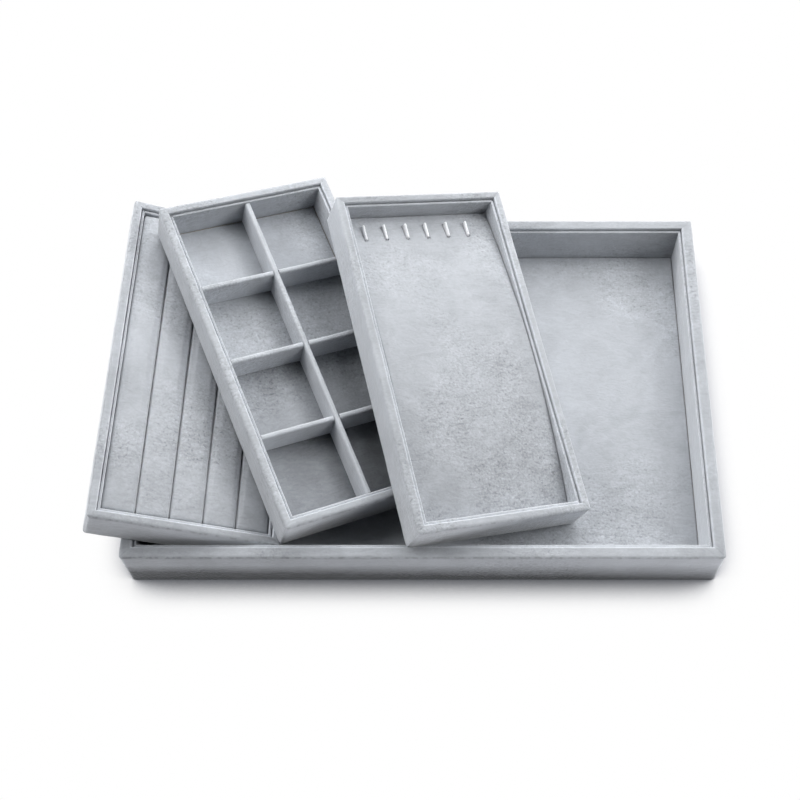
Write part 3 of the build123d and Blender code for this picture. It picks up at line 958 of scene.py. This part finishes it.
def swollen(mesh, up, aside):
    """A closed velvet cover blown up by the foam in it, upwards and aside no further than given."""
    scene = bpy.context.scene
    holder = put("swelling", mesh)
    cloth = holder.modifiers.new("Velvet", "CLOTH")
    cloth.settings.use_pressure = True
    cloth.settings.uniform_pressure_force = CLOTH_PRESSURE
    cloth.settings.effector_weights.gravity = 0
    cloth.collision_settings.use_collision = False
    start = mesh_points(mesh)
    for number in range(1, CLOTH_FRAMES + 1):
        scene.frame_set(number)
    moved = np.clip(mesh_points(evaluated(holder).data) - start, (-aside, -aside, 0), (aside, aside, up))
    holder.modifiers.remove(cloth)
    scene.frame_set(1)
    mesh.vertices.foreach_set("co", (start + moved).ravel())
    mesh.update()
    smoothing = holder.modifiers.new("Softening", "SUBSURF")
    smoothing.levels = smoothing.render_levels = 1
    return taken_from(holder)


# Operators

def cover_strips(stem, shape, rounds, corner_round, painted_highlight_corners, material):
    """Covers the walls or the liners of every tray."""
    for tray in TRAYS.values():
        for side in SIDES:
            mesh = strip_mesh(tray, stem, side, shape, rounds, corner_round, painted_highlight_corners)
            cover(tray, f"{stem}_{side}", mesh, material)


class TRAYS_OT_walls(bpy.types.Operator):
    """Cover the walls of every tray"""
    bl_idname = "trays.walls"
    bl_label = "Walls"

    def execute(self, context):
        shape = context.scene.cover_shape
        rounds = (shape.rim_round, shape.lip_round)
        cover_strips("wall", shape, rounds, shape.corner_round, [2], velvet("Wall pile"))
        return {"FINISHED"}


class TRAYS_OT_liners(bpy.types.Operator):
    """Cover the liner strips of every tray"""
    bl_idname = "trays.liners"
    bl_label = "Liners"

    def execute(self, context):
        shape = context.scene.cover_shape
        rounds = (shape.liner_round, shape.liner_round)
        cover_strips("liner", shape, rounds, 0, [1, 2], velvet("Liner pile"))
        return {"FINISHED"}


class TRAYS_OT_floor_pads(bpy.types.Operator):
    """Lay the floor pads"""
    bl_idname = "trays.floor_pads"
    bl_label = "Floor pads"

    def execute(self, context):
        for name in ("large_tray", "grid_tray"):
            tray = TRAYS[name]
            piece = cover(tray, "floor_pad", pad_mesh(tray, context.scene.cover_shape), velvet("Pad pile"))
        return {"FINISHED"}


class TRAYS_OT_ring_rolls(bpy.types.Operator):
    """Make the foam rolls of the ring tray"""
    bl_idname = "trays.ring_rolls"
    bl_label = "Ring rolls"

    def execute(self, context):
        shape = context.scene.cover_shape
        tray = TRAYS["ring_tray"]
        tree = roll_tree()
        for seed, part in enumerate(tray.parts("roll_"), start=1):
            low, high = tray.box(part)
            length = (high - low)[1]
            room = np.array([2 * shape.roll_press, 2 * shape.roll_press, shape.roll_swell])
            mesh = grown(part, tree, {
                "Size": tuple(high - low - room), "Shoulder": shape.roll_shoulder, "Crown": shape.roll_crown,
                "Wander": ROLL_WANDER * shape.wander, "Seed": float(seed), "Material": velvet("Roll pile")})
            mesh = swollen(mesh, shape.roll_swell, shape.roll_press)
            # Painted shade towards the roll's front, painted light towards its back
            mark(mesh, SHADE, np.interp(mesh_points(mesh)[:, 1], (-length / 2, length / 2), ROLL_PAINTED_SHADE))
            middle = (low + high) / 2
            mesh.transform(Matrix.Translation((middle[0], middle[1], middle[2] - shape.roll_swell / 2)))
            piece = cover(tray, part, mesh, velvet("Roll pile"))
        return {"FINISHED"}


class TRAYS_OT_dividers(bpy.types.Operator):
    """Cover the lapped dividers of the grid tray"""
    bl_idname = "trays.dividers"
    bl_label = "Dividers"

    def execute(self, context):
        shape = context.scene.cover_shape
        tray = TRAYS["grid_tray"]
        crossing = tray.parts("cross_divider_")
        places = [float(sum(tray.box(part))[1]) / 2 for part in crossing]
        mesh = board_mesh(tray, "long_divider", False, shape, places, False)
        cover(tray, "long_divider", mesh, velvet("Divider pile"))
        for part in crossing:
            cover(tray, part, board_mesh(tray, part, True, shape, [0.0], True), velvet("Divider pile"))
        return {"FINISHED"}


class TRAYS_OT_arched_panel(bpy.types.Operator):
    """Cover the arched panel of the pendant tray, with its slits"""
    bl_idname = "trays.arched_panel"
    bl_label = "Arched panel"

    def execute(self, context):
        tray = TRAYS["pendant_tray"]
        cover(tray, "arched_panel", panel_mesh(tray, context.scene.cover_shape), velvet("Panel pile"))
        return {"FINISHED"}


class TRAYS_OT_strap_hooks(bpy.types.Operator):
    """Stand the strap hooks in the panel's slits"""
    bl_idname = "trays.strap_hooks"
    bl_label = "Strap hooks"

    def execute(self, context):
        shape = context.scene.cover_shape
        tray = TRAYS["pendant_tray"]
        low, high = tray.box("strap_hooks")
        places = hook_places(tray, shape)
        pile = velvet("Strap pile", context.scene.velvet_look.strap_colour)
        mesh = grown("strap_hooks", hook_tree(), {
            "Size": (shape.hook_thickness, *(high - low)[1:]), "Round": HOOK_ROUND, "Count": shape.hook_count,
            "Spacing": (places[1] - places[0], 0.0, 0.0), "Lean": shape.hook_lean, "Seed": HOOK_SEED,
            "Material": pile})
        middle = (low + high) / 2
        mesh.transform(Matrix.Translation((places[0], middle[1], middle[2])))
        cover(tray, "strap_hooks", mesh, pile)
        return {"FINISHED"}


class TRAYS_OT_boards(bpy.types.Operator):
    """Finish the felt and the boards that stay bare"""
    bl_idname = "trays.boards"
    bl_label = "Felt and boards"

    def execute(self, context):
        finishes = {"underside_felt": felt("Pressed felt"), "board": bare_board("Bare board")}
        for name, node in frame["nodes"].items():
            if SLOTS[name] in finishes:
                node.data.materials.clear()
                node.data.materials.append(finishes[SLOTS[name]])
        return {"FINISHED"}


LAMP_REACH = 1.3           # metres
# A lamp's heading clockwise from the back and its height in degrees, and its size in metres
LAMPS = {"key": (45, 55, 0.9), "side": (90, 35, 0.8), "fill": (270, 35, 0.8), "back": (0, 30, 0.8),
         "high": (315, 60, 0.8)}
FLOOR_REACH = 6.0          # metres
CONTACT_EDGE = (0.45, 0.95)    # openness of a spot in full contact shade, and of a clear one
CONTACT_SAMPLES = 16
WHITE = (1.0, 1.0, 1.0, 1.0)
CAMERA_PLACE = (11.3 * MM, -383.4 * MM, 673.1 * MM)
CAMERA_PITCH = math.radians(65.47)    # down from level
SENSOR = 36.0              # millimetres, as Blender keeps it
IMAGE = 800                # pixels, square
FOCAL = 1205.0             # pixels
CENTRE = (442.2, 513.3)    # where the camera's axis meets the picture, in pixels


def seen(net):
    """1 for what the camera sees, straight on or mirrored, and 0 for what lights the object."""
    path = net.node("ShaderNodeLightPath")
    return net.math("MAXIMUM", *(Wire(net, path.outputs[ray]) for ray in ("Is Camera Ray", "Is Glossy Ray")))


class TRAYS_OT_stage(bpy.types.Operator):
    """Set up the floor, the lamps, the background and the camera"""
    bl_idname = "trays.stage"
    bl_label = "Stage"

    def execute(self, context):
        look = context.scene.stage_look
        self.floor(look)
        self.sky(context.scene)
        for name, (heading, height, size) in LAMPS.items():
            power = getattr(look, name + "_power")
            self.lamp(name, power, math.radians(heading), math.radians(height), size)
        self.camera(context.scene)
        context.scene.view_settings.view_transform = "Standard"
        return {"FINISHED"}

    def floor(self, look):
        """A pale floor, white to the camera beyond the trays' shadow at their feet: shadow from the lamps,
        deepened by painted shade where ambient occlusion finds the trays close.
        """
        corners = [(x * FLOOR_REACH, y * FLOOR_REACH, 0) for x, y in ((-1, -1), (1, -1), (1, 1), (-1, 1))]
        mesh = mesh_of("floor", corners, [(0, 1, 2, 3)])
        material, net = new_material("floor")
        openness = net.wire("ShaderNodeAmbientOcclusion", {"Distance": look.contact_reach}, "AO",
                            samples=CONTACT_SAMPLES)
        clear = net.smooth_step(openness, *CONTACT_EDGE)
        # Painted shade: the floor's colour darkens towards the contact colour where ambient occlusion finds
        # the trays close
        colour = net.blend(clear, toned(look.contact_colour), toned(look.floor_colour))
        matt = net.wire("ShaderNodeBsdfDiffuse", {"Color": colour})
        white = net.wire("ShaderNodeEmission", {"Color": WHITE, "Strength": 1.0})
        shown = net.wire("ShaderNodeMixShader", {0: clear * seen(net), 1: matt, 2: white})
        net.node("ShaderNodeOutputMaterial", {"Surface": shown})
        mesh.materials.append(material)
        put("floor", mesh)

    def sky(self, scene):
        """A dark room, seen as plain white."""
        world = bpy.data.worlds.new("sky")
        world.use_nodes = True
        net = Net(world.node_tree)
        white = net.wire("ShaderNodeBackground", {"Color": WHITE, "Strength": seen(net)})
        net.node("ShaderNodeOutputWorld", {"Surface": white})
        scene.world = world

    def lamp(self, name, power, heading, height, size):
        """A square soft box that faces the trays."""
        data = bpy.data.lights.new(name, "AREA")
        data.energy = power
        data.shape = "SQUARE"
        data.size = size
        lamp = put(name, data)
        level = LAMP_REACH * math.cos(height)
        lamp.location = (level * math.sin(heading), level * math.cos(heading), LAMP_REACH * math.sin(height))
        lamp.rotation_euler = (-lamp.location).to_track_quat("-Z", "Y").to_euler()

    def camera(self, scene):
        """The photograph's viewpoint."""
        data = bpy.data.cameras.new("camera")
        data.sensor_width = SENSOR
        data.lens = FOCAL / IMAGE * SENSOR
        data.shift_x = (IMAGE / 2 - CENTRE[0]) / IMAGE
        data.shift_y = (CENTRE[1] - IMAGE / 2) / IMAGE
        camera = put("camera", data)
        camera.location = CAMERA_PLACE
        camera.rotation_euler = (math.pi / 2 - CAMERA_PITCH, 0, 0)
        scene.camera = camera


STEPS = (TRAYS_OT_walls, TRAYS_OT_liners, TRAYS_OT_floor_pads, TRAYS_OT_ring_rolls, TRAYS_OT_dividers,
         TRAYS_OT_arched_panel, TRAYS_OT_strap_hooks, TRAYS_OT_boards, TRAYS_OT_stage)
SETTINGS = {"velvet_look": VelvetLook, "cover_shape": CoverShape, "stage_look": StageLook}


class TRAYS_PT_sidebar(bpy.types.Panel):
    """Lists the pieces and their settings"""
    bl_label = "Velvet tray set"
    bl_space_type = "VIEW_3D"
    bl_region_type = "UI"
    bl_category = "Trays"

    def draw(self, context):
        for step in STEPS:
            self.layout.operator(step.bl_idname)
        for name, group in SETTINGS.items():
            box = self.layout.box()
            for label in group.__annotations__:
                box.prop(getattr(context.scene, name), label)


CLASSES = (*SETTINGS.values(), *STEPS, TRAYS_PT_sidebar)


def register():
    """Adds the classes and the scene's settings."""
    for kind in CLASSES:
        bpy.utils.register_class(kind)
    for name, group in SETTINGS.items():
        setattr(bpy.types.Scene, name, bpy.props.PointerProperty(type=group))


def unregister():
    """Takes them away again."""
    for name in SETTINGS:
        delattr(bpy.types.Scene, name)
    for kind in reversed(CLASSES):
        bpy.utils.unregister_class(kind)


def main():
    """Makes every piece and the stage."""
    register()
    for step in STEPS:
        getattr(bpy.ops.trays, step.bl_idname.removeprefix("trays."))()


if __name__ == "__main__":
    main()
